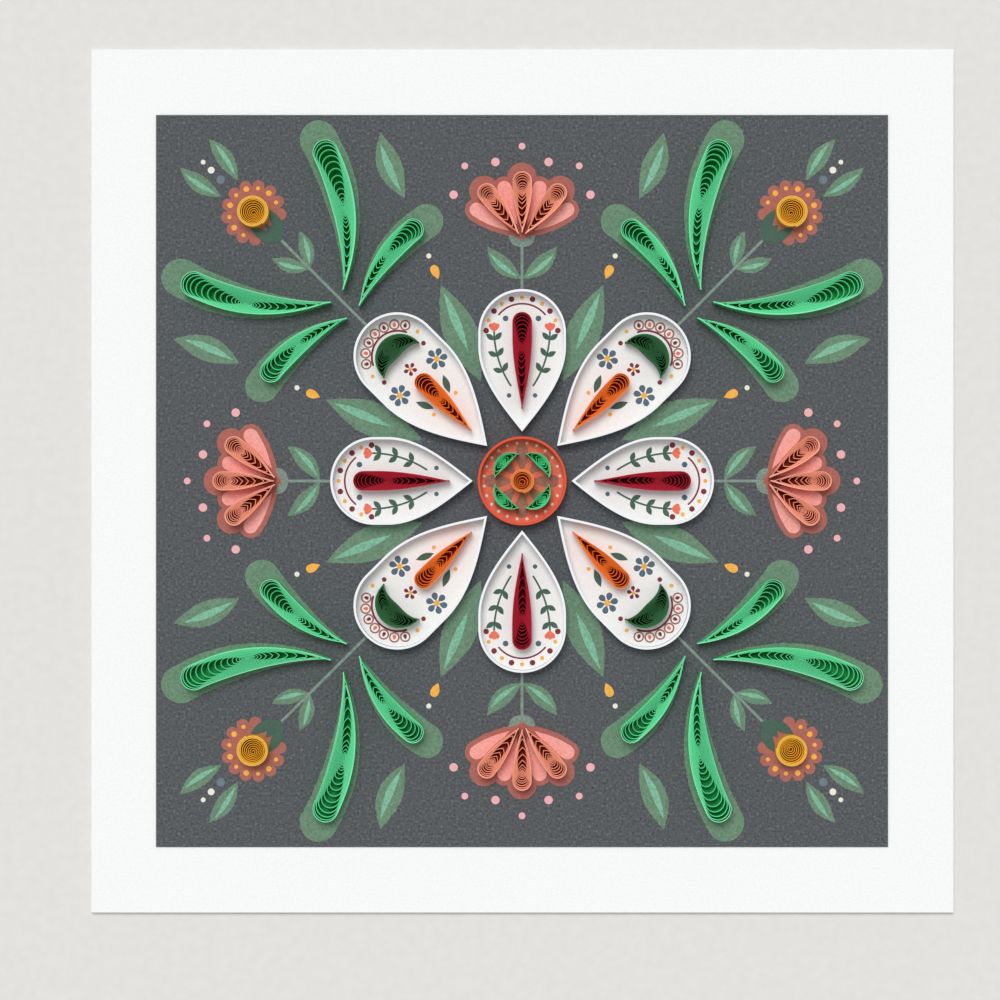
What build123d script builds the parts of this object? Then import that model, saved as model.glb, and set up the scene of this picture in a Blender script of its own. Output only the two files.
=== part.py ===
from build123d import *
import os
from math import asin, cos, degrees, pi, radians, sin, sqrt, tan

# Quilled greeting card, in millimetres. The card lies closed on its back: Z = 0 is the underside
# of the back leaf, +Z comes out of the picture, +Y is the top of the picture, the fold is on the left.
# The picture is laid out from its middle outwards, and the panel and the card are cut to suit it.

# Card and panel
card_stock = 0.4
leaf_gap = 0.3
panel_stock = 0.25
white_border = 11.6
picture_margin = 4.64

# Paper strips on edge
strip_width = 3.0
rim_wall = 0.4
turn_wall = 0.28
groove_width = 0.28
groove_depth = 0.8

# Middle of the blossom
ring_diameter = 15.6
centre_coil_diameter = 4.3
centre_crescent_length = 6.4
centre_crescent_width = 2.2

# White petals and what is glued inside them
petal_gap = 0.9
petal_width = 15.4
short_petal_length = 25.0
long_petal_length = 30.0
red_coil_length = 17.0
red_coil_width = 3.6
orange_coil_length = 13.5
orange_coil_width = 3.5
petal_crescent_length = 11.0
petal_crescent_width = 4.0
petal_crescent_bend_angle = 130.0

# Leaf sprays in the corners
spray_gap = 3.3
leaf_stagger = 4.0
leaf_root_gap = 1.5
long_leaf_length = 27.0
long_leaf_width = 4.7
long_leaf_aim_angle = 36.0
long_leaf_bend_angle = -40.0
short_leaf_length = 18.5
short_leaf_width = 4.0
short_leaf_aim_angle = 82.0
short_leaf_bend_angle = 35.0
bud_stem = 25.0
bud_coil_diameter = 5.6

# Petal fans at the sides
fan_stem = 9.0
fan_step_angle = 38.0
fan_petal_gap = 0.6
fan_petal_length = 10.8
fan_petal_width = 3.5

# Shape of a teardrop: where along its length a petal or a coil is widest. Shape of a coil's turns:
# how far apart they lie at the open ends and how far the gaps run back beside the next turn
petal_widest_share = 0.6
coil_widest_share = 0.76
pitch_share = 0.1
horn_share = 1.2

# Corners that draw the edges
side_steps = 5
cap_angles = (0, 36, 72)
lune_angle = 50
crescent_steps = 8
rim_side_steps = 6
rim_cap_angles = (0, 22.5, 45, 67.5)
spiral_steps = 10
coil_corners = 20
ring_corners = 40

SIDES = {"east": 0, "north": 90, "west": 180, "south": 270}
CORNERS = {"north_east": 45, "north_west": 135, "south_west": 225, "south_east": 315}
HANDS = {"left": 1, "right": -1}


class Teardrop:
    """The edge of a petal or coil that is pinched at its tip, swells along its sides and ends round."""

    def __init__(self, length, width, widest_share):
        self.length = length
        self.radius = width / 2
        self.widest = widest_share * length

    def half_width(self, u):
        """Half the breadth, u from the tip."""
        swell = sin(pi / 2 * min(1, u / self.widest))
        left = self.length - u
        cap = sqrt(max(0, 1 - (1 - left / self.radius) ** 2)) if left < self.radius else 1
        return self.radius * swell * cap

    def where(self, half_width):
        """How far from the tip the sides have swollen to this half breadth."""
        return self.widest * 2 / pi * asin(half_width / self.radius)

    def stations(self, steps, angles):
        """Places where the edge has corners: evenly up the side, then round the end."""
        side = [self.widest * i / steps for i in range(1, steps + 1)]
        cap = [self.length - self.radius * (1 - sin(radians(a))) for a in angles]
        return side + cap


class Spindle:
    """The edge of a coil that is pinched at both ends."""

    def __init__(self, length, width):
        self.length = length
        self.radius = width / 2

    def half_width(self, u):
        return self.radius * sin(pi * u / self.length)

    def where(self, half_width):
        return self.length / pi * asin(half_width / self.radius)

    def stations(self, steps):
        return [self.length * i / steps for i in range(1, steps)]


def bent(u, v, length, bend):
    """The point u along a coil's bent axis and v to its left. The tip is at the origin, heading +X."""
    if bend == 0:
        return (u, v)
    radius = length / radians(bend)
    angle = u / radius
    return ((radius - v) * sin(angle), radius - (radius - v) * cos(angle))


def bent_face(points, length, bend):
    return Polygon(*[bent(u, v, length, bend) for u, v in points], align=None)


def edge_points(edge, stations):
    """The closed edge of a coil or petal: out along one side from the tip and back along the other."""
    side = [(u, edge.half_width(u)) for u in sorted(stations)]
    return [(0, 0)] + [(u, -v) for u, v in side] + [(edge.length, 0)] + side[::-1]


def chevrons(edge, count):
    """Gaps between the turns at a pinched tip: nested arrowheads, from where two turns fit each side."""
    first = edge.where(2 * turn_wall)
    pitch = pitch_share * edge.length
    gaps = []
    for k in range(count):
        tip = first + k * pitch
        horn = tip + horn_share * pitch
        spread = edge.half_width(horn) - turn_wall * (1 + k)
        notch = tip + pitch - turn_wall
        gaps.append([(tip, 0), (horn, -spread), (notch, 0), (horn, spread)])
    return gaps


def lunes(edge, count):
    """Gaps between the turns at a round end: nested half moons, each turn lying inside the last."""
    depth = pitch_share * edge.length - turn_wall
    gaps = []
    for k in range(count):
        radius = edge.radius - turn_wall * (1 + k)
        outer = edge.length - edge.radius - k * depth
        inner = outer - depth
        ahead = radius * cos(radians(lune_angle))
        aside = radius * sin(radians(lune_angle))
        rim = [(inner, -radius), (outer + ahead, -aside), (outer + radius, 0), (outer + ahead, aside)]
        core = [(inner, radius), (inner + ahead, aside), (inner + radius, 0), (inner + ahead, -aside)]
        gaps.append(rim + core)
    return gaps


def pinched_coil(length, width, bend=0, gaps=3):
    """A strip rolled up, let loose and pinched at one end: a teardrop whose turns open at both ends."""
    edge = Teardrop(length, width, coil_widest_share)
    face = bent_face(edge_points(edge, edge.stations(side_steps, cap_angles)), length, bend)
    for gap in chevrons(edge, gaps) + lunes(edge, gaps):
        face -= bent_face(gap, length, bend)
    return extrude(face, strip_width)


def crescent_coil(length, width, bend, gaps):
    """A coil pinched at both ends and bent. The middle of its hollow side's circle is at the origin."""
    edge = Spindle(length, width)
    near = chevrons(edge, gaps)
    far = [[(length - u, v) for u, v in gap] for gap in near]
    face = bent_face(edge_points(edge, edge.stations(crescent_steps)), length, bend)
    for gap in near + far:
        face -= bent_face(gap, length, bend)
    radius = length / radians(bend)
    return Rot(0, 0, 90 - bend / 2) * Pos(0, -radius, 0) * extrude(face, strip_width)


def tight_coil(diameter, turns=1.5):
    """A strip rolled up tight: its turns show as a spiral groove in the top."""
    core = extrude(RegularPolygon(diameter / 2, coil_corners), strip_width)
    first = turn_wall + groove_width
    climb = (diameter / 2 - first - turn_wall - groove_width) / turns
    angles = [2 * pi * i / spiral_steps for i in range(int(turns * spiral_steps) + 1)]
    middle = [first + climb * a / (2 * pi) for a in angles]
    side = groove_width / 2
    inner = [((r - side) * cos(a), (r - side) * sin(a)) for r, a in zip(middle, angles)]
    outer = [((r + side) * cos(a), (r + side) * sin(a)) for r, a in zip(middle, angles)]
    spiral = Polygon(*inner, *outer[::-1], align=None)
    return core - Pos(0, 0, strip_width - groove_depth) * extrude(spiral, groove_depth)


def petal_rim(length):
    """A strip glued on edge round a petal, meeting itself at the petal's foot."""
    edge = Teardrop(length, petal_width, petal_widest_share)
    face = Polygon(*edge_points(edge, edge.stations(rim_side_steps, rim_cap_angles)), align=None)
    return extrude(face - offset(face, -rim_wall, kind=Kind.INTERSECTION), strip_width)


def clear_radius(edge, half_angle, gap):
    """How far from a common middle teardrops start when each keeps to its own sector."""
    slope = tan(radians(half_angle))
    room = gap / 2 / cos(radians(half_angle))
    return max((edge.half_width(u) + room) / slope - u for u in [0] + edge.stations(side_steps, cap_angles))


def at(angle, distance, shape):
    """A shape drawn along +X, moved out from the middle of the picture and turned about it."""
    return Rot(0, 0, angle) * Pos(distance, 0, 0) * shape


picture = {}

# Coral middle: a ring on edge, a tight coil and four crescents between them
ring_radius = ring_diameter / 2
ring_edge = RegularPolygon(ring_radius, ring_corners)
ring_face = ring_edge - offset(ring_edge, -rim_wall, kind=Kind.INTERSECTION)
picture["centre_ring"] = extrude(ring_face, strip_width)
picture["centre_coil"] = tight_coil(centre_coil_diameter)
crescent_path = (centre_coil_diameter / 2 + ring_radius - rim_wall) / 2
crescent_turn = degrees(centre_crescent_length / crescent_path)
centre_crescent = crescent_coil(centre_crescent_length, centre_crescent_width, crescent_turn, 1)
for name, angle in CORNERS.items():
    picture[f"centre_crescent_{name}"] = Rot(0, 0, angle) * centre_crescent

# White petals: short ones to the sides with a dark red teardrop, long ones to the corners with an
# orange teardrop and a dark green crescent
half_sector = 180 / (len(SIDES) + len(CORNERS))
petal_foot = ring_radius + petal_gap
for length in (short_petal_length, long_petal_length):
    edge = Teardrop(length, petal_width, petal_widest_share)
    petal_foot = max(petal_foot, clear_radius(edge, half_sector, petal_gap))
short_rim = petal_rim(short_petal_length)
red_coil = pinched_coil(red_coil_length, red_coil_width)
red_inset = (short_petal_length - red_coil_length) / 2
for name, angle in SIDES.items():
    picture[f"petal_rim_{name}"] = at(angle, petal_foot, short_rim)
    picture[f"petal_coil_{name}"] = at(angle, petal_foot + red_inset, red_coil)

crescent_radius = petal_crescent_length / radians(petal_crescent_bend_angle)
crescent_foot = crescent_radius * cos(radians(petal_crescent_bend_angle / 2))
crescent_top = crescent_radius + petal_crescent_width / 2
crescent_depth = crescent_top - crescent_foot
long_inset = (long_petal_length - orange_coil_length - crescent_depth) / 3
crescent_place = petal_foot + 2 * long_inset + orange_coil_length - crescent_foot
long_rim = petal_rim(long_petal_length)
orange_coil = pinched_coil(orange_coil_length, orange_coil_width)
petal_crescent = crescent_coil(petal_crescent_length, petal_crescent_width, petal_crescent_bend_angle, 2)
for name, angle in CORNERS.items():
    picture[f"petal_rim_{name}"] = at(angle, petal_foot, long_rim)
    picture[f"petal_coil_{name}"] = at(angle, petal_foot + long_inset, orange_coil)
    picture[f"petal_crescent_{name}"] = at(angle, crescent_place, petal_crescent)


def leaf(length, width, aim, bend, hand):
    """A leaf whose tip is beside the stem and whose chord points away from the stem at the aim."""
    coil = pinched_coil(length, width, hand * bend)
    return Pos(0, hand * leaf_root_gap, 0) * Rot(0, 0, hand * (aim - bend / 2)) * coil


# Leaf sprays: two short and two long bent leaves and a tight bud coil on each diagonal
spray_root = petal_foot + long_petal_length + spray_gap
for hand_name, hand in HANDS.items():
    short_leaf = leaf(short_leaf_length, short_leaf_width, short_leaf_aim_angle, short_leaf_bend_angle, hand)
    long_leaf = leaf(long_leaf_length, long_leaf_width, long_leaf_aim_angle, long_leaf_bend_angle, hand)
    for name, angle in CORNERS.items():
        picture[f"leaf_short_{hand_name}_{name}"] = at(angle, spray_root, short_leaf)
        picture[f"leaf_long_{hand_name}_{name}"] = at(angle, spray_root + leaf_stagger, long_leaf)
bud_coil = tight_coil(bud_coil_diameter)
for name, angle in CORNERS.items():
    picture[f"bud_coil_{name}"] = at(angle, spray_root + bud_stem, bud_coil)

# Petal fans: three coral teardrops spread from one point on each side's axis
fan_root = petal_foot + short_petal_length + fan_stem
fan_edge = Teardrop(fan_petal_length, fan_petal_width, coil_widest_share)
fan_hub = clear_radius(fan_edge, fan_step_angle / 2, fan_petal_gap)
fan_petal = pinched_coil(fan_petal_length, fan_petal_width, gaps=2)
for name, angle in SIDES.items():
    for place, turn in {"left": fan_step_angle, "middle": 0, "right": -fan_step_angle}.items():
        picture[f"fan_petal_{place}_{name}"] = at(angle, fan_root, at(turn, fan_hub, fan_petal))

# Panel, cut to leave a bare margin round the picture, and the folded card under it
corners = [shape.bounding_box().max for shape in picture.values()]
picture_reach = max(max(corner.X, corner.Y) for corner in corners)
panel_side = 2 * (picture_reach + picture_margin)
card_side = panel_side + 2 * white_border
card_height = 2 * card_stock + leaf_gap
fold_outer = card_height / 2
fold_inner = leaf_gap / 2
free_edge = card_side / 2
fold_line = -free_edge + fold_outer


def folded_card():
    """One sheet folded once: two flat leaves joined by a round fold down the left side."""
    front_top = (fold_line, card_height)
    front_inside = (fold_line, card_stock + leaf_gap)
    back_inside = (fold_line, card_stock)
    back_under = (fold_line, 0)
    front = Polyline(front_inside, (free_edge, card_stock + leaf_gap), (free_edge, card_height), front_top)
    back = Polyline(back_under, (free_edge, 0), (free_edge, card_stock), back_inside)
    outside = ThreePointArc(front_top, (fold_line - fold_outer, fold_outer), back_under)
    inside = ThreePointArc(back_inside, (fold_line - fold_inner, fold_outer), front_inside)
    section = make_face(front.edges() + outside.edges() + back.edges() + inside.edges())
    return extrude(Plane.XZ * section, card_side / 2, both=True)


parts = {"folded_card": folded_card()}
panel_sheet = extrude(Rectangle(panel_side, panel_side), panel_stock)
parts["picture_panel"] = Pos(0, 0, card_height) * panel_sheet
for name, shape in picture.items():
    parts[name] = Pos(0, 0, card_height + panel_stock) * shape

os.makedirs("parts", exist_ok=True)
for name, shape in parts.items():
    export_step(shape, f"parts/{name}.step")
print(f"{len(parts)} pieces, card {card_side:.2f} mm square, petals from {petal_foot:.2f}, fan hub {fan_hub:.2f}")
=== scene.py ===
from collections import Counter
from math import atan2, copysign, cos, pi, radians, sin, sqrt
from random import Random

import bmesh
import bpy
from mathutils import Matrix, Vector


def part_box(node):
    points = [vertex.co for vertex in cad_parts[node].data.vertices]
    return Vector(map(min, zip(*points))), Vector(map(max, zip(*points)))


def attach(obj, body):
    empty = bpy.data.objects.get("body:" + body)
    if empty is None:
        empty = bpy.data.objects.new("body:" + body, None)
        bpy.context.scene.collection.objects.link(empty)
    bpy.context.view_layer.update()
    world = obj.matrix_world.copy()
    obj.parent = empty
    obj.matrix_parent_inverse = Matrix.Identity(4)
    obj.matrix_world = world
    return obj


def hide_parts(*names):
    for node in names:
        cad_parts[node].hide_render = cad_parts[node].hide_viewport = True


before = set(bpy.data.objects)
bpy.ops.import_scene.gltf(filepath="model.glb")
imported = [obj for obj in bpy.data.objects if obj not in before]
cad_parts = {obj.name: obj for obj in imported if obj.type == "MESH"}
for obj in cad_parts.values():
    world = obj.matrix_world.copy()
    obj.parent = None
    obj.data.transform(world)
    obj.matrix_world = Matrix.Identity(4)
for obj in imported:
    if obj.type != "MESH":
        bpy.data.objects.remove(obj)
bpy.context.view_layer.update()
mm = 0.001


# Folded card: one sheet of smooth white card, scored and folded once down the left side.
# Its shape is the solid's own. The finish is heavy matt card with a faint tooth.

paper_specular = 0.25
roughness_swing = 0.08


def colour(code, shade=1.0):
    """Six hex digits as linear red, green, blue and alpha, by the sRGB curve, times a shade."""
    parts = [int(code[i:i + 2], 16) / 255 for i in (0, 2, 4)]
    linear = [((part + 0.055) / 1.055) ** 2.4 if part > 0.04045 else part / 12.92 for part in parts]
    return [min(1, shade * part) for part in linear] + [1]


def add(tree, kind, inputs, **settings):
    """A new shader node with its settings, and its inputs linked or set."""
    made = tree.nodes.new(kind)
    for name, value in settings.items():
        setattr(made, name, value)
    for name, value in inputs.items():
        if isinstance(value, bpy.types.NodeSocket):
            tree.links.new(value, made.inputs[name])
        else:
            made.inputs[name].default_value = value
    return made


def ramp(tree, factor, stops):
    """A colour ramp through the stops, each a place and a colour."""
    made = add(tree, "ShaderNodeValToRGB", {"Fac": factor})
    elements = made.color_ramp.elements
    while len(elements) < len(stops):
        elements.new(0.5)
    for element, (place, tone) in zip(elements, stops):
        element.position = place
        element.color = tone
    return made.outputs["Color"]


def matt_paper(name, stops, grain, relief, roughness):
    """Matt paper or ink: a grain of this size runs through the stops' tones and roughens the surface."""
    material = bpy.data.materials.new(name)
    material.use_nodes = True
    tree = material.node_tree
    shader = tree.nodes["Principled BSDF"]
    place = add(tree, "ShaderNodeTexCoord", {}).outputs["Object"]
    noise = add(
        tree, "ShaderNodeTexNoise",
        {"Vector": place, "Scale": 1 / grain, "Detail": 4.0, "Roughness": 0.6},
    )
    fleck = noise.outputs["Fac"]
    rough = add(
        tree, "ShaderNodeMapRange",
        {"Value": fleck, "To Min": roughness - roughness_swing, "To Max": roughness + roughness_swing},
    )
    bump = add(tree, "ShaderNodeBump", {"Height": fleck, "Strength": 0.6, "Distance": relief})
    tree.links.new(ramp(tree, fleck, stops), shader.inputs["Base Color"])
    tree.links.new(rough.outputs["Result"], shader.inputs["Roughness"])
    tree.links.new(bump.outputs["Normal"], shader.inputs["Normal"])
    shader.inputs["Specular IOR Level"].default_value = paper_specular
    return material


def dress(node, material):
    """Gives a node that keeps its own shape a finish."""
    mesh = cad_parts[node].data
    mesh.materials.clear()
    mesh.materials.append(material)


card_tones = [(0.3, colour("f0f1f1")), (0.7, colour("f9f9f8"))]
white_card = matt_paper("white_card_stock", card_tones, grain=0.35 * mm, relief=0.01 * mm, roughness=0.8)
dress("folded_card", white_card)


# Picture panel: a thin sheet printed dark grey all over, glued in the middle of the front.
# The print has a fine speckle of darker and paler grey, as of chalk dust on slate.

panel_tones = [
    (0.28, colour("373a3d")),
    (0.44, colour("505356")),
    (0.58, colour("5a5d60")),
    (0.76, colour("808385")),
]
slate_print = matt_paper("slate_print", panel_tones, grain=0.45 * mm, relief=0.006 * mm, roughness=0.85)
dress("picture_panel", slate_print)


# Printed fields: the white of the eight petals and the coral of the middle, printed on the panel
# before anything is glued to it. Each ink is a film that stands a hair above the paper, a film higher
# for each layer, and staggered from stroke to stroke so that strokes that overlap differ in height.

SIDES = {"east": 0, "north": 90, "west": 180, "south": 270}
CORNERS = {"north_east": 45, "north_west": 135, "south_west": 225, "south_east": 315}
LAYERS = {"wash": 1, "field": 2, "motif": 3, "heart": 4, "speck": 5}
INKS = {
    "white": "f0f0ed",
    "coral": "ec765c",
    "sage": "6a8870",
    "mint": "7db598",
    "stem": "7f9187",
    "rose_brown": "a9675c",
    "pink": "f0a89f",
    "pale_pink": "ecb0b2",
    "brown": "a36d5d",
    "maroon": "7f333d",
    "slate_blue": "566a78",
    "blue_grey": "6c7c84",
    "forest": "486456",
    "yellow": "f2b04c",
    "cream": "e8e8d9",
}
panel_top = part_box("picture_panel")[1].z
film = 0.024 * mm
stagger = 0.0025 * mm
strokes_apart = 9
petal_widest_share = 0.6
plates = {ink: bmesh.new() for ink in INKS}
strokes = Counter()
brush = Random("dry brush")


def rounded(left, radius):
    """The share of its breadth that an outline has where this much is left to its round end."""
    return sqrt(max(0, 1 - (1 - left / radius) ** 2)) if left < radius else 1


def teardrop(along, length, width, widest_share=petal_widest_share):
    """Half the breadth of a teardrop, along from its pinched tip: a swelling side and a round end."""
    radius = width / 2
    swell = sin(pi / 2 * min(1, along / (widest_share * length)))
    return radius * swell * rounded(length - along, radius)


def rod(along, length, width):
    """Half the breadth of a line of even width with round ends."""
    radius = width / 2
    return radius * rounded(min(along, length - along), radius)


def bent(along, aside, length, bend):
    """The point along a bent axis and aside to its left. The tip is at the origin, heading +X."""
    if bend == 0:
        return Vector((along, aside, 0))
    radius = length / radians(bend)
    out = radius - aside
    return Vector((out * sin(along / radius), radius - out * cos(along / radius), 0))


def turned(angle):
    """A turn about the upright axis, in degrees."""
    return Matrix.Rotation(radians(angle), 4, "Z")


def moved(out, aside=0.0):
    """A move along the panel, straight out and to the left."""
    return Matrix.Translation((out, aside, 0))


def raise_film(mesh, face, height):
    """Makes a flat face a closed film of this height."""
    raised = bmesh.ops.extrude_face_region(mesh, geom=[face], use_keep_orig=True)["geom"]
    lifted = [part for part in raised if isinstance(part, bmesh.types.BMVert)]
    bmesh.ops.translate(mesh, verts=lifted, vec=(0, 0, height))


def stamp(ink, layer, place, length, width, edge=teardrop, bend=0, corners=32, dry=0.0):
    """A spot of ink with its tip at the place: a disc pressed to the edge's outline, as high as its layer.
    A dry brush leaves the outline ragged by up to dry."""
    mesh = plates[ink]
    disc = bmesh.ops.create_circle(mesh, cap_ends=True, segments=corners, radius=1.0)["verts"]
    face = disc[0].link_faces[0]
    for vert in disc:
        along = length * (1 + vert.co.x) / 2
        side = 1 if vert.co.y > 0 else -1
        half = edge(along, length, width)
        half += brush.uniform(-1, 1) * min(dry, half / 2)
        vert.co = place @ bent(along, side * half, length, bend) + Vector((0, 0, panel_top))
    raise_film(mesh, face, LAYERS[layer] * film + strokes[ink] % strokes_apart * stagger)
    strokes[ink] += 1


def dot(ink, layer, place, radius, corners=20):
    """A round spot of ink with its middle at the place."""
    stamp(ink, layer, place @ moved(out=-radius), 2 * radius, 2 * radius, rod, corners=corners)


rim_wall = 0.4 * mm
field_inset = rim_wall / 2
short_rim_low, short_rim_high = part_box("petal_rim_east")
petal_foot = short_rim_low.x
petal_width = short_rim_high.y - short_rim_low.y
short_petal = short_rim_high.x - petal_foot
long_petal = 30.0 * mm
ring_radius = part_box("centre_ring")[1].x
PETALS = [(side, angle, short_petal) for side, angle in SIDES.items()]
PETALS += [(corner, angle, long_petal) for corner, angle in CORNERS.items()]
for _, angle, length in PETALS:
    foot = turned(angle) @ moved(out=petal_foot + field_inset)
    stamp("white", "field", foot, length - rim_wall, petal_width - rim_wall, corners=72)
dot("coral", "field", moved(out=0), ring_radius - field_inset, corners=64)


# Printed foliage: soft sage leaves behind the glued ones, thin stems, and sepals between the petals.
# They are flat ink, brushed on dry, with a paler blade along the middle.

petal_step = 45
coil_widest_share = 0.76
spray_gap = 3.3 * mm
spray_root = petal_foot + long_petal + spray_gap
leaf_root_gap = 1.5 * mm
LEAVES = {
    "short": {"past_root": 0.0, "aim": 82, "length": 18.5 * mm, "width": 4.0 * mm, "bend": 35},
    "long": {"past_root": 4.0 * mm, "aim": 36, "length": 27.0 * mm, "width": 4.7 * mm, "bend": -40},
}
shadow_past_end = 4.0 * mm
shadow_past_side = 2.0 * mm
blade_from = 0.1
blade_share = 0.76
blade_width_share = 0.3
sage_dry = 0.08 * mm
stem_width = 0.5 * mm
bract_aim = 48
bud_past_root = 25.0 * mm
bud_place = spray_root + bud_past_root
bud_calyx = 6.4 * mm
fan_gap = 9.0 * mm
fan_root = petal_foot + short_petal + fan_gap


def slim_teardrop(along, length, width):
    """Half the breadth of the slimmer teardrop that a pinched coil has."""
    return teardrop(along, length, width, coil_widest_share)


def spindle(along, length, width):
    """Half the breadth of a leaf or crescent, pointed at both ends."""
    return width / 2 * sin(pi * along / length)


def leaf_place(angle, leaf, hand):
    """Where a spray's leaf has its tip, and the way that it sets out from there."""
    root = turned(angle) @ moved(out=spray_root + leaf["past_root"], aside=hand * leaf_root_gap)
    return root @ turned(hand * (leaf["aim"] - leaf["bend"] / 2))


def leaf_shadow(angle, leaf, hand):
    """The sage print that shows round the end of a spray's leaf."""
    length = leaf["length"] + shadow_past_end
    width = leaf["width"] + shadow_past_side
    bend = hand * leaf["bend"] * length / leaf["length"]
    place = leaf_place(angle, leaf, hand)
    stamp("sage", "wash", place, length, width, slim_teardrop, bend, corners=240, dry=sage_dry)


def bladed_leaf(root, hand, aim, length, width, bend):
    """A printed leaf that sets out from its root to one hand, with a paler blade along its middle."""
    place = root @ turned(hand * aim)
    stamp("sage", "wash", place, length, width, spindle, hand * bend, corners=120, dry=sage_dry)
    blade = place @ moved(out=blade_from * length)
    blade_bend = blade_share * (hand * bend)
    stamp("mint", "field", blade, blade_share * length, blade_width_share * width, spindle, blade_bend)


for angle in CORNERS.values():
    ray = turned(angle)
    stalk = ray @ moved(out=petal_foot + long_petal)
    stamp("stem", "field", stalk, spray_gap + bud_past_root - bud_calyx, stem_width, rod)
    for hand in (1, -1):
        for leaf in LEAVES.values():
            leaf_shadow(angle, leaf, hand)
        between = turned(angle - hand * petal_step / 2)
        beyond_bud = ray @ moved(out=73 * mm, aside=hand * 2.0 * mm)
        bladed_leaf(ray @ moved(out=53 * mm), hand, aim=42, length=7 * mm, width=2.6 * mm, bend=-25)
        bladed_leaf(beyond_bud, hand, aim=20, length=9 * mm, width=3.0 * mm, bend=-20)
        bladed_leaf(between @ moved(out=54 * mm), hand, aim=8, length=12.5 * mm, width=4.4 * mm, bend=-20)
        sepal = between @ moved(out=19 * mm)
        stamp("sage", "wash", sepal, 18.5 * mm, width=6.0 * mm, edge=spindle, corners=200, dry=sage_dry)
        stamp("mint", "field", sepal @ moved(out=6 * mm), length=11.0 * mm, width=1.5 * mm, edge=spindle)
        stamp("yellow", "wash", sepal @ moved(out=19.6 * mm), length=2.6 * mm, width=1.5 * mm)
        dot("cream", "wash", sepal @ moved(out=24.0 * mm), radius=0.45 * mm)
for angle in SIDES.values():
    stalk = turned(angle) @ moved(out=petal_foot + short_petal)
    stamp("stem", "field", stalk, fan_gap, stem_width, rod)
    for hand in (1, -1):
        bladed_leaf(stalk @ moved(out=2.0 * mm), hand, aim=62, length=8.5 * mm, width=3.0 * mm, bend=-30)
        bract = stalk @ moved(out=7.6 * mm) @ turned(hand * bract_aim)
        stamp("stem", "field", bract, length=3.2 * mm, width=1.5 * mm, edge=spindle)


# Printed flowers: rose brown petals behind each coral fan with paler ones between them, a scalloped
# flower behind each yellow bud, and dots strewn round both. They are the same flat ink.

FAN_PETALS = {"left": 38, "middle": 0, "right": -38}
fan_between = (-57, -19, 19, 57)
rose_gap = 0.2 * mm
rose_dry = 0.06 * mm
flower_lobes = 13
corners_a_lobe = 8
seeds_each_way = 4
large_dot = 0.5 * mm
small_dot = 0.36 * mm
calyx_foot = -7.0 * mm
calyx_aim = 38
calyx_bend = -34
DOTS_PAST_BUD = (
    {"ink": "blue_grey", "out": 8.2 * mm, "radius": 0.75 * mm},
    {"ink": "cream", "out": 10.6 * mm, "radius": 0.6 * mm},
    {"ink": "cream", "out": 12.6 * mm, "radius": 0.42 * mm},
)


def rose_petal(fan, turn, length, width):
    """A rose brown petal of a fan."""
    place = fan @ turned(turn) @ moved(out=rose_gap)
    stamp("rose_brown", "wash", place, length, width, slim_teardrop, corners=60, dry=rose_dry)


def scallop(ink, layer, place, radius, lobe):
    """A round flower with a scalloped edge, its middle at the place."""
    mesh = plates[ink]
    corners = corners_a_lobe * flower_lobes
    disc = bmesh.ops.create_circle(mesh, cap_ends=True, segments=corners, radius=1.0)["verts"]
    face = disc[0].link_faces[0]
    for vert in disc:
        swell = abs(cos(flower_lobes / 2 * atan2(vert.co.y, vert.co.x)))
        vert.co = place @ (vert.co * (radius + lobe * sqrt(swell))) + Vector((0, 0, panel_top))
    raise_film(mesh, face, LAYERS[layer] * film)


for angle in SIDES.values():
    fan = turned(angle) @ moved(out=fan_root)
    dot("rose_brown", "wash", fan @ moved(out=1.2 * mm), radius=1.5 * mm)
    for turn in sorted(FAN_PETALS.values()):
        rose_petal(fan, turn, length=13.3 * mm, width=5.2 * mm)
    for turn in fan_between:
        rose_petal(fan, turn, length=11.4 * mm, width=4.2 * mm)
        place = fan @ turned(turn) @ moved(out=2.6 * mm)
        stamp("pink", "field", place, length=8.2 * mm, width=2.5 * mm, edge=slim_teardrop)
        dot("pale_pink", "wash", fan @ turned(turn) @ moved(out=14.4 * mm), radius=0.75 * mm)
    for turn in sorted(FAN_PETALS.values()):
        dot("pale_pink", "wash", fan @ turned(turn) @ moved(out=16.4 * mm), radius=0.6 * mm)

for angle in CORNERS.values():
    bud = turned(angle) @ moved(out=bud_place)
    scallop("rose_brown", "wash", bud, radius=4.6 * mm, lobe=1.2 * mm)
    for step in range(-seeds_each_way, seeds_each_way + 1):
        seed = bud @ turned(360 / flower_lobes * step) @ moved(out=4.35 * mm)
        dot("yellow", "field", seed, large_dot if step % 2 else small_dot)
    calyx = bud @ moved(out=calyx_foot)
    for hand in (1, -1):
        leaf = calyx @ turned(hand * calyx_aim)
        stamp("forest", "motif", leaf, 6.2 * mm, width=1.9 * mm, edge=spindle, bend=hand * calyx_bend)
    stamp("forest", "motif", calyx, length=4.0 * mm, width=1.7 * mm, edge=spindle)
    for spot in DOTS_PAST_BUD:
        dot(spot["ink"], "wash", bud @ moved(out=spot["out"]), spot["radius"])


# Printed ornament on the white: sprigs, daisies, beaded bows and rows of dots as in folk painting, and
# a flower with a dotted edge on the coral middle. All of it is the same flat ink, over the fields.

edge_dots_each_way = 5
edge_dot_turn = 17
beads_each_way = 3
bead_turn = 19.4
sprig_bend = 34
sprig_stem_width = 0.32 * mm
sprig_leaf_aim = 48
sprig_bare_end = 0.6
sprig_bud_turns = (-34, 34, 0)
daisy_leaf_aim = 205
middle_petals = 8
middle_dots = 24


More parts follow.
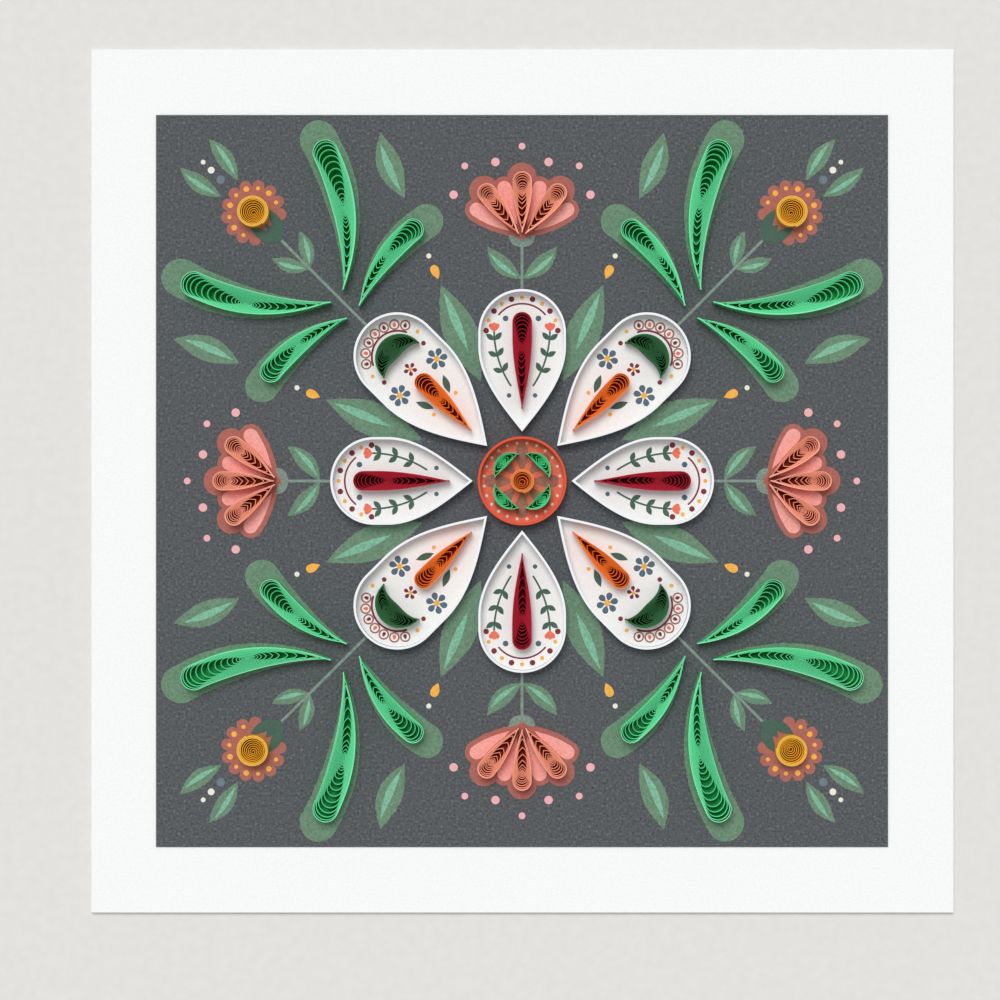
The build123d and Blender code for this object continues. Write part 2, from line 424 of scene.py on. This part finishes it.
def daisy(place, ink, petals, radius):
    """A small flower of teardrop petals with a yellow heart."""
    for step in range(petals):
        petal = place @ turned(360 * step / petals) @ moved(out=0.25 * radius)
        stamp(ink, "motif", petal, length=0.85 * radius, width=0.62 * radius, corners=20)
    dot("yellow", "heart", place, radius=0.3 * radius)


def sprig(place, length, bend, leaf_pairs):
    """A bent stem with pairs of small leaves and a bud of three petals at its end."""
    stamp("forest", "motif", place, length, sprig_stem_width, rod, bend)
    for pair in range(1, leaf_pairs + 1):
        along = length * pair / (leaf_pairs + sprig_bare_end)
        axil = place @ Matrix.Translation(bent(along, 0, length, bend)) @ turned(bend * along / length)
        for hand in (1, -1):
            leaf = axil @ turned(hand * sprig_leaf_aim)
            stamp("forest", "motif", leaf, length=1.9 * mm, width=0.95 * mm, edge=spindle, corners=16)
    end = place @ Matrix.Translation(bent(length, 0, length, bend)) @ turned(bend)
    for turn in sprig_bud_turns:
        petal = end @ turned(turn) @ moved(out=-0.3 * mm)
        stamp("coral", "heart", petal, length=1.7 * mm, width=0.8 * mm, corners=20)


def bow(middle, radius, half_turn, width):
    """A thin maroon line bowed about the middle."""
    place = middle @ turned(-half_turn) @ moved(out=radius) @ turned(90)
    stamp("maroon", "motif", place, radius * radians(2 * half_turn), width, rod, 2 * half_turn, corners=96)


for angle in SIDES.values():
    petal = turned(angle) @ moved(out=petal_foot)
    end = petal @ moved(out=short_petal - petal_width / 2)
    for step in range(-edge_dots_each_way, edge_dots_each_way + 1):
        place = end @ turned(edge_dot_turn * step) @ moved(out=6.35 * mm)
        if step % 2:
            dot("maroon", "motif", place, large_dot)
        else:
            dot("yellow", "motif", place, small_dot)
    bow(end, radius=5.3 * mm, half_turn=52, width=0.3 * mm)
    for hand in (1, -1):
        root = petal @ moved(out=8.0 * mm, aside=hand * 1.9 * mm) @ turned(hand * sprig_bend)
        sprig(root, length=10.5 * mm, bend=-hand * sprig_bend, leaf_pairs=3)
        dot("slate_blue", "motif", petal @ moved(out=20.0 * mm, aside=hand * 2.9 * mm), large_dot)
        dot("slate_blue", "motif", petal @ moved(out=6.4 * mm, aside=hand * 2.3 * mm), radius=0.4 * mm)

for angle in CORNERS.values():
    petal = turned(angle) @ moved(out=petal_foot)
    end = petal @ moved(out=long_petal - petal_width / 2)
    bow(end, radius=4.6 * mm, half_turn=66, width=0.35 * mm)
    for step in range(-beads_each_way, beads_each_way + 1):
        bead = end @ turned(bead_turn * step) @ moved(out=5.72 * mm)
        drop = bead @ moved(out=0.45 * mm) @ turned(180)
        drop_ink = "maroon" if step % 2 else "coral"
        dot("brown", "motif", bead, radius=0.95 * mm)
        dot("white", "heart", bead, radius=0.67 * mm)
        stamp(drop_ink, "speck", drop, length=0.9 * mm, width=0.62 * mm, corners=20)
    for hand in (1, -1):
        place = petal @ moved(out=17.2 * mm, aside=hand * 4.6 * mm)
        daisy(place, "slate_blue", petals=6, radius=1.75 * mm)
        leaf = petal @ moved(out=14.4 * mm, aside=hand * 3.4 * mm) @ turned(hand * daisy_leaf_aim)
        stamp("forest", "motif", leaf, length=3.4 * mm, width=1.2 * mm, edge=spindle)
        dot("maroon", "motif", petal @ moved(out=20.8 * mm, aside=hand * 4.9 * mm), radius=0.42 * mm)
        dot("yellow", "motif", petal @ moved(out=23.0 * mm, aside=hand * 5.6 * mm), small_dot)
        dot("yellow", "motif", petal @ moved(out=10.6 * mm, aside=hand * 2.7 * mm), small_dot)
    daisy(petal @ moved(out=19.2 * mm), "maroon", petals=5, radius=1.1 * mm)

for step in range(middle_petals):
    petal = turned(360 / middle_petals * step) @ moved(out=1.6 * mm)
    stamp("brown", "motif", petal, length=4.9 * mm, width=2.2 * mm)
for step in range(middle_dots):
    place = turned(360 / middle_dots * (step + 0.5)) @ moved(out=6.75 * mm)
    dot("cream", "motif", place, radius=0.26 * mm, corners=14)

plain_ink_spread = 0.16
INK_SPREADS = {
    "white": 0.04,
    "cream": 0.04,
    "pale_pink": 0.04,
    "sage": 0.28,
    "mint": 0.28,
    "stem": 0.28,
    "brown": 0.28,
}


def piece(name, mesh, material):
    """Makes a finished mesh an object of the card, with its faces pointing outwards."""
    bmesh.ops.recalc_face_normals(mesh, faces=mesh.faces[:])
    data = bpy.data.meshes.new(name)
    mesh.to_mesh(data)
    mesh.free()
    data.materials.append(material)
    made = bpy.data.objects.new(name, data)
    bpy.context.scene.collection.objects.link(made)
    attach(made, "root")
    return made


def printed(ink, code):
    """Makes all the spots of one ink a piece of the panel's print, its grain straying from the colour."""
    spread = INK_SPREADS.get(ink, plain_ink_spread)
    tones = [
        (0.3, colour(code, shade=1 - spread)),
        (0.5, colour(code)),
        (0.72, colour(code, shade=1 + spread)),
    ]
    finish = matt_paper("ink_" + ink, tones, grain=0.4 * mm, relief=0.004 * mm, roughness=0.85)
    field = piece("print_" + ink, plates[ink], finish)


for ink, code in INKS.items():
    printed(ink, code)


# Outline strips: white paper strips glued on edge round the petals, and a coral one round the middle.
# Each stands 3 mm high and is closed to a loop.

strip_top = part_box("petal_rim_east")[1].z
dish_depth = 0.7 * mm
mitre_limit = 0.5
sharp_fold = 60
rim_steps = 120


def strip_paper(name, face, dim_lit_top, edge):
    """Coloured paper on edge: a painted highlight on its top edge, brightest where proud, dimmed as
    painted shade where sunk.
    """
    face_tones = [(0.3, colour(face, shade=0.88)), (0.7, colour(face, shade=1.1))]
    # The top edge is painted light: a highlight paler than the faces, shaded darker where the edge sinks
    # low.
    lit_top_stops = [(0.0, colour(dim_lit_top, shade=0.8)), (0.8, colour(dim_lit_top)), (0.97, colour(edge))]
    material = matt_paper(name, face_tones, grain=0.25 * mm, relief=0.006 * mm, roughness=0.8)
    tree = material.node_tree
    shader = tree.nodes["Principled BSDF"]
    face_tone = shader.inputs["Base Color"].links[0].from_socket
    texture = add(tree, "ShaderNodeTexCoord", {})
    height = add(tree, "ShaderNodeSeparateXYZ", {"Vector": texture.outputs["Object"]}).outputs["Z"]
    upward = add(tree, "ShaderNodeSeparateXYZ", {"Vector": texture.outputs["Normal"]}).outputs["Z"]
    # Painted shade: the lower a top edge lies in the dish, the darker its colour.
    sink_shading = add(
        tree, "ShaderNodeMapRange",
        {"Value": height, "From Min": strip_top - dish_depth, "From Max": strip_top},
    )
    # Painted highlight: faces that point up take the paler top edge colours.
    lit_top_mask = add(tree, "ShaderNodeMapRange", {"Value": upward, "From Min": 0.4, "From Max": 0.7})
    lit_top_colour = ramp(tree, sink_shading.outputs["Result"], lit_top_stops)
    # A Mix node's colours are its inputs 6 and 7, and its output 2.
    mix = add(
        tree, "ShaderNodeMix",
        {0: lit_top_mask.outputs["Result"], 6: face_tone, 7: lit_top_colour},
        data_type="RGBA",
    )
    tree.links.new(mix.outputs[2], shader.inputs["Base Color"])
    return material


def strip_on_edge(node, path, wall, material, lifts=None, tilt=0.0):
    """A strip standing on edge along a path on the panel that turns left, its outer face on the path.
    A path without lifts is a closed loop. The strip stands for the node."""
    mesh = bmesh.new()
    lift = mesh.verts.layers.float.new("lift")
    count = len(path)
    outer = mesh.verts.new(path[0])
    inner = mesh.verts.new(path[0] + Vector((wall, 0, 0)))
    first = last = mesh.edges.new((outer, inner))
    for i in range(count):
        ahead = path[min(i + 1, count - 1)] if lifts else path[(i + 1) % count]
        behind = path[max(i - 1, 0)] if lifts else path[i - 1]
        after = (ahead - path[i]).normalized()
        heading = ((path[i] - behind).normalized() + after).normalized()
        mitre = wall / max(mitre_limit, heading.dot(after))
        if i > 0:
            grown = bmesh.ops.extrude_edge_only(mesh, edges=[last])["geom"]
            ends = [part for part in grown if isinstance(part, bmesh.types.BMVert)]
            outer, inner = ends if ends[0].co == outer.co else ends[::-1]
            last = mesh.edges.get((outer, inner))
        outer.co = path[i] + Vector((0, 0, panel_top))
        inner.co = outer.co + mitre * Vector((-heading.y, heading.x, 0))
        outer[lift] = lifts[i] if lifts else 0
        inner[lift] = outer[lift] - tilt * wall
    if not lifts:
        bmesh.ops.contextual_create(mesh, geom=[last, first])
    grown = bmesh.ops.extrude_face_region(mesh, geom=mesh.faces[:], use_keep_orig=True)["geom"]
    for vert in grown:
        if isinstance(vert, bmesh.types.BMVert):
            vert.co.z = strip_top + vert[lift]
    mesh.verts.layers.float.remove(lift)
    made = piece(node + "_strip", mesh, material)
    made.data.polygons.foreach_set("use_smooth", [True] * len(made.data.polygons))
    made.data.set_sharp_from_angle(angle=radians(sharp_fold))
    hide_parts(node)


# The second and third colours of each paper are painted light on its top edge: a highlight, dimmed by
# painted shade where the edge sinks.
white_strip = strip_paper("white_strip_paper", face="e6e9ed", dim_lit_top="edeff1", edge="f0f2f4")
coral_strip = strip_paper("coral_strip_paper", face="d23f24", dim_lit_top="d94b2f", edge="de5438")
for side, angle, length in PETALS:
    rim = []
    for step in range(rim_steps):
        way = 2 * step / rim_steps
        along = length * sin(pi / 2 * (1 - abs(1 - way)))
        aside = teardrop(along, length, petal_width) * (-1 if way < 1 else 1)
        rim.append(turned(angle) @ moved(out=petal_foot) @ Vector((along, aside, 0)))
    strip_on_edge("petal_rim_" + side, rim, rim_wall, white_strip)
ring = [turned(360 * step / rim_steps) @ Vector((ring_radius, 0, 0)) for step in range(rim_steps)]
strip_on_edge("centre_ring", ring, rim_wall, coral_strip)


# Pinched coils: each is one strip rolled up, let loose, pinched and glued on edge over a printed bed of
# painted shade.
# The turns lie packed along both sides and open out at the round end and towards the tip. Two coils
# of one kind differ a little in the place of the eye, the lean and the slack, as hand work does.

turn_pitch = 0.155 * mm
turn_wall = 0.13 * mm
turn_steps = 64
turn_slack = 0.16 * mm
slack_wave = 2.4
pinch_reach = 1.4
pinch_curve = 1.7
even_opening = 0.3
least_breadth = 0.02 * mm
eye_radius = 0.3 * mm
eye_turns = 2
eye_flat = 0.045
eye_stray = 0.03
eye_shrink = 0.85
outer_lean = 0.12
lean_stray = 0.08
edge_ripple = 0.03 * mm
ripples_a_turn = 1.7
bed_inset = 0.2 * mm
# Each bed is a darker tone of its coil's paper, printed under the coil so that the gaps between its turns
# read as deep shade: painted shade.
SHADE_BEDS = {
    "leaf_bed": "2a9a58",
    "red_shade_bed": "7a0c1c",
    "orange_shade_bed": "a83407",
    "coral_shade_bed": "a04a35",
    "dark_green_shade_bed": "12381c",
}
plates.update({bed: bmesh.new() for bed in SHADE_BEDS})


def pinched(left, breadth):
    """The share of its breadth that a turn has where this much is left to its own pinched end."""
    return 1 - (1 - min(1, max(0, left) / (pinch_reach * breadth))) ** pinch_curve


def tip_opening(share):
    """How far in from the pinched tip a turn ends: the outer turns are spaced, the inner ones packed."""
    return 1 - (1 - share) ** 2


def end_opening(share):
    """How far in from the round end a turn ends: the outermost and innermost turns are packed."""
    return even_opening * share + (1 - even_opening) / 2 * (1 - cos(pi * share))


def coil_path(
    length, width, edge, bend, seed, eye, flat=eye_flat, far_end=rounded, far_opening=end_opening,
):
    """The line of a rolled strip from its loose end at the tip to its eye, tip at the origin, heading +X,
    how far its top edge stands above or below the rest at each point, and how steeply it is dished."""
    chance = Random(seed)
    turns = round((width / 2 - eye_radius) / turn_pitch)
    middle = (eye + chance.uniform(-eye_stray, eye_stray)) * length
    eye_half = flat * length
    lean = chance.uniform(-lean_stray, lean_stray) - (copysign(outer_lean, bend) if bend else 0)
    phase = chance.uniform(0, 2 * pi)
    straight = coil_widest_share * length if far_end == rounded else length
    all_packed = turns * turn_pitch
    line = []
    lifts = []
    for step in range(turn_steps * (turns + eye_turns) + 1):
        turn = step / turn_steps
        around = 2 * pi * turn
        packed = min(turn, turns) * turn_pitch
        if turn < turns:
            # A turn starts at the tip and is at the far end half way round.
            from_tip = max(0, turn - 1) / (turns - 1)
            from_end = max(0, turn - 0.5) / (turns - 0.5)
            slack = turn_slack * sin(slack_wave * turn + phase) * from_tip * (1 - from_end)
            near = (middle - eye_half) * tip_opening(from_tip) + slack
            far = length - (length - middle - eye_half) * far_opening(from_end) + slack
            along = near + (far - near) * (1 - cos(around)) / 2
            breadth, near_breadth, far_breadth = (
                max(least_breadth, edge(min(place, straight), length, width) - packed)
                for place in (along, near, far)
            )
            aside = breadth * pinched(along - near, near_breadth) * far_end(far - along, far_breadth)
            aside *= -1 if around % (2 * pi) < pi else 1
        else:
            shrunk = 1 - eye_shrink * (turn - turns) / eye_turns
            along = middle - eye_half * shrunk * cos(around)
            aside = -eye_radius * shrunk * sin(around)
        line.append(bent(along, aside + lean * packed, length, bend))
        ripple = edge_ripple * sin(ripples_a_turn * around + phase)
        lifts.append(ripple - dish_depth * packed / all_packed)
    return line, lifts, dish_depth / all_packed


def quilled(node, place, length, width, edge, bend, paper, slot, bed, bed_layer, **opening):
    """Prints a coil's bed of painted shade on the panel and glues the coil over it."""
    bed_place = place @ moved(out=bed_inset)
    bed_length = length - 2 * bed_inset
    stamp(bed, bed_layer, bed_place, bed_length, width - 2 * bed_inset, edge, bend, corners=48)
    line, lifts, tilt = coil_path(length, width, edge, bend, node, **opening)
    strip_on_edge(node, [place @ point for point in line], turn_wall, paper, lifts, tilt)


# The second and third colours of each paper are painted light on its top edge: a highlight, dimmed by
# painted shade where the edge sinks.
leaf_paper = strip_paper("leaf_green_paper", face="32d67e", dim_lit_top="5cd794", edge="92efbb")
red_paper = strip_paper("dark_red_paper", face="8a0519", dim_lit_top="ab1029", edge="b9243a")
orange_paper = strip_paper("orange_paper", face="ea5406", dim_lit_top="f5701f", edge="fb9048")
coral_paper = strip_paper("pale_coral_paper", face="ee7350", dim_lit_top="f99a7c", edge="ffc0ac")
red_low, red_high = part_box("petal_coil_east")
red_length = red_high.x - red_low.x
red_width = red_high.y - red_low.y
fan_coil_length = 10.8 * mm
fan_coil_width = 3.5 * mm
fan_coil_gap = 0.92 * mm
for side, angle in SIDES.items():
    place = turned(angle) @ moved(out=red_low.x)
    quilled(
        "petal_coil_" + side, place, red_length, red_width, slim_teardrop, 0,
        red_paper, "red_strip", "red_shade_bed", "motif", eye=0.66,
    )
    for name, turn in FAN_PETALS.items():
        place = turned(angle) @ moved(out=fan_root) @ turned(turn) @ moved(out=fan_coil_gap)
        quilled(
            f"fan_petal_{name}_{side}", place, fan_coil_length, fan_coil_width, slim_teardrop, 0,
            coral_paper, "petal_coral_strip", "coral_shade_bed", "field", eye=0.69,
        )

# An orange coil and a crescent share a long petal, with even gaps before, between and after them.
orange_length = 13.5 * mm
orange_width = 3.5 * mm
moon_length = 11.0 * mm
moon_width = 4.0 * mm
moon_bend = 130.0
moon_radius = moon_length / radians(moon_bend)
moon_foot = moon_radius * cos(radians(moon_bend / 2))
long_inset = (long_petal - orange_length - (moon_radius + moon_width / 2 - moon_foot)) / 3
for corner, angle in CORNERS.items():
    place = turned(angle) @ moved(out=petal_foot + long_inset)
    quilled(
        "petal_coil_" + corner, place, orange_length, orange_width, slim_teardrop, 0,
        orange_paper, "orange_strip", "orange_shade_bed", "motif", eye=0.62,
    )
    for name, hand in {"left": 1, "right": -1}.items():
        for kind, leaf in LEAVES.items():
            place = leaf_place(angle, leaf, hand)
            quilled(
                f"leaf_{kind}_{name}_{corner}", place, leaf["length"], leaf["width"], slim_teardrop,
                hand * leaf["bend"], leaf_paper, "leaf_green_strip", "leaf_bed", "field", eye=0.56,
            )


# Crescent coils: rolled strips pinched at both ends, bent to a moon and glued on edge, light green
# round the middle and dark green near the ends of the long petals.

# The second and third colours are painted light on the top edge: a highlight, dimmed by painted shade
# where the edge sinks.
dark_green_paper = strip_paper("dark_green_paper", face="144a22", dim_lit_top="275c33", edge="3c7348")
moon_place = petal_foot + 2 * long_inset + orange_length - moon_foot
moon_flat = 0.1
small_moon_length = 6.4 * mm
small_moon_width = 2.2 * mm
small_moon_bend = 76.8


def crescent(node, place, length, width, bend, paper, slot, bed):
    """A crescent whose arc has its middle at the place and bulges along +X."""
    radius = length / radians(bend)
    tip = place @ turned(90 - bend / 2) @ moved(out=0, aside=-radius)
    quilled(
        node, tip, length, width, spindle, bend, paper, slot, bed, "motif",
        eye=0.5, flat=moon_flat, far_end=pinched, far_opening=tip_opening,
    )


for corner, angle in CORNERS.items():
    crescent(
        "centre_crescent_" + corner, turned(angle), small_moon_length, small_moon_width,
        small_moon_bend, leaf_paper, "leaf_green_strip", "leaf_bed",
    )
    place = turned(angle) @ moved(out=moon_place)
    crescent(
        "petal_crescent_" + corner, place, moon_length, moon_width,
        moon_bend, dark_green_paper, "dark_green_strip", "dark_green_shade_bed",
    )
# The beds of painted shade become print pieces like the inks.
for bed, code in SHADE_BEDS.items():
    printed(bed, code)


# Tight coils: strips rolled up and glued before they can open, orange in the middle and yellow in the
# buds. The outer turns stand a little proud of the sunken middle.

# The second and third colours are painted light on the top edge: a highlight, dimmed by painted shade
# where the edge sinks.
yellow_paper = strip_paper("yellow_paper", face="f8ae18", dim_lit_top="fcb42a", edge="ffc64e")
middle_coil_diameter = 4.3 * mm
bud_coil_diameter = 5.6 * mm
band_turns = 3
band_pitch = 0.18 * mm
band_sink = 0.02 * mm
heart_radius = 0.2 * mm
heart_drift = 0.3 * mm
sink_steepness = 1.6


def tight_coil(node, place, diameter, paper, inner_pitch, heart_sink):
    """A coil with a tight band of outer turns and looser ones inside it that drift to one side."""
    chance = Random(node)
    drift = turned(chance.uniform(0, 360)) @ Vector((heart_drift, 0, 0))
    start = chance.uniform(0, 360)
    band_inside = diameter / 2 - band_turns * band_pitch
    turns = band_turns + (band_inside - heart_radius) / inner_pitch
    line = []
    lifts = []
    for step in range(int(turns * turn_steps) + 1):
        turn = step / turn_steps
        inside = max(0, turn - band_turns) / (turns - band_turns)
        radius = diameter / 2 - min(turn, band_turns) * band_pitch
        radius -= (band_inside - heart_radius) * inside
        line.append(place @ (turned(start + 360 * turn) @ Vector((radius, 0, 0)) + inside * drift))
        lifts.append(-heart_sink * sin(pi / 2 * min(1, sink_steepness * inside)) - band_sink * turn)
    strip_on_edge(node, line, turn_wall, paper, lifts)


tight_coil(
    "centre_coil", moved(out=0), middle_coil_diameter, orange_paper,
    inner_pitch=0.44 * mm, heart_sink=0.3 * mm,
)
for corner, angle in CORNERS.items():
    bud = turned(angle) @ moved(out=bud_place)
    tight_coil(
        "bud_coil_" + corner, bud, bud_coil_diameter, yellow_paper,
        inner_pitch=0.33 * mm, heart_sink=0.8 * mm,
    )


# Setting: a pale matt floor that the card lies on, and a backdrop of the same tone behind it.
# A broad soft lamp stands beyond the top of the picture, and the camera looks straight down.

floor_half_side = 1.5
floor_drop = 0.02 * mm
floor_mesh = bmesh.new()
bmesh.ops.create_grid(floor_mesh, x_segments=2, y_segments=2, size=floor_half_side)
floor_data = bpy.data.meshes.new("floor")
floor_mesh.to_mesh(floor_data)
floor_mesh.free()
floor_tones = [(0.3, colour("dedcd9")), (0.7, colour("e3e1de"))]
floor_finish = matt_paper("pale_floor", floor_tones, grain=2 * mm, relief=0.01 * mm, roughness=0.9)
floor_data.materials.append(floor_finish)
floor = bpy.data.objects.new("floor", floor_data)
floor.location.z = -floor_drop
bpy.context.scene.collection.objects.link(floor)

lamp_data = bpy.data.lights.new("soft_lamp", "SUN")
lamp_data.angle = radians(28)
lamp_data.energy = 1.84
lamp = bpy.data.objects.new("soft_lamp", lamp_data)
lamp.location = (-0.12, 0.35, 0.85)
lamp.rotation_euler = (-lamp.location).to_track_quat("-Z", "Y").to_euler()
bpy.context.scene.collection.objects.link(lamp)

world = bpy.data.worlds.new("studio")
world.use_nodes = True
studio = world.node_tree
soft_light = studio.nodes["Background"]
soft_light.inputs["Color"].default_value = (0.98, 0.99, 1.0, 1)
soft_light.inputs["Strength"].default_value = 0.5
backdrop = add(studio, "ShaderNodeBackground", {"Color": colour("e2e1de"), "Strength": 1.0})
light_path = add(studio, "ShaderNodeLightPath", {}).outputs
mirrored = add(
    studio, "ShaderNodeMath",
    {0: light_path["Is Glossy Ray"], 1: light_path["Is Transmission Ray"]},
    operation="MAXIMUM",
)
seen = add(
    studio, "ShaderNodeMath",
    {0: light_path["Is Camera Ray"], 1: mirrored.outputs[0]},
    operation="MAXIMUM",
)
surround = add(
    studio, "ShaderNodeMixShader",
    {0: seen.outputs[0], 1: soft_light.outputs["Background"], 2: backdrop.outputs["Background"]},
)
studio.links.new(surround.outputs["Shader"], studio.nodes["World Output"].inputs["Surface"])
bpy.context.scene.world = world

card_low, card_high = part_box("folded_card")
picture_pixels = 1000
card_pixels = 863
card_middle_pixel = (522, 481)
camera_height = 0.6
pixel = (card_high.x - card_low.x) / card_pixels
camera_data = bpy.data.cameras.new("camera")
camera_data.lens = camera_data.sensor_width * camera_height / (pixel * picture_pixels)
camera = bpy.data.objects.new("camera", camera_data)
camera.location = (
    (picture_pixels / 2 - card_middle_pixel[0]) * pixel,
    (card_middle_pixel[1] - picture_pixels / 2) * pixel,
    card_high.z + camera_height,
)
bpy.context.scene.collection.objects.link(camera)
bpy.context.scene.camera = camera
bpy.context.scene.view_settings.view_transform = "Standard"
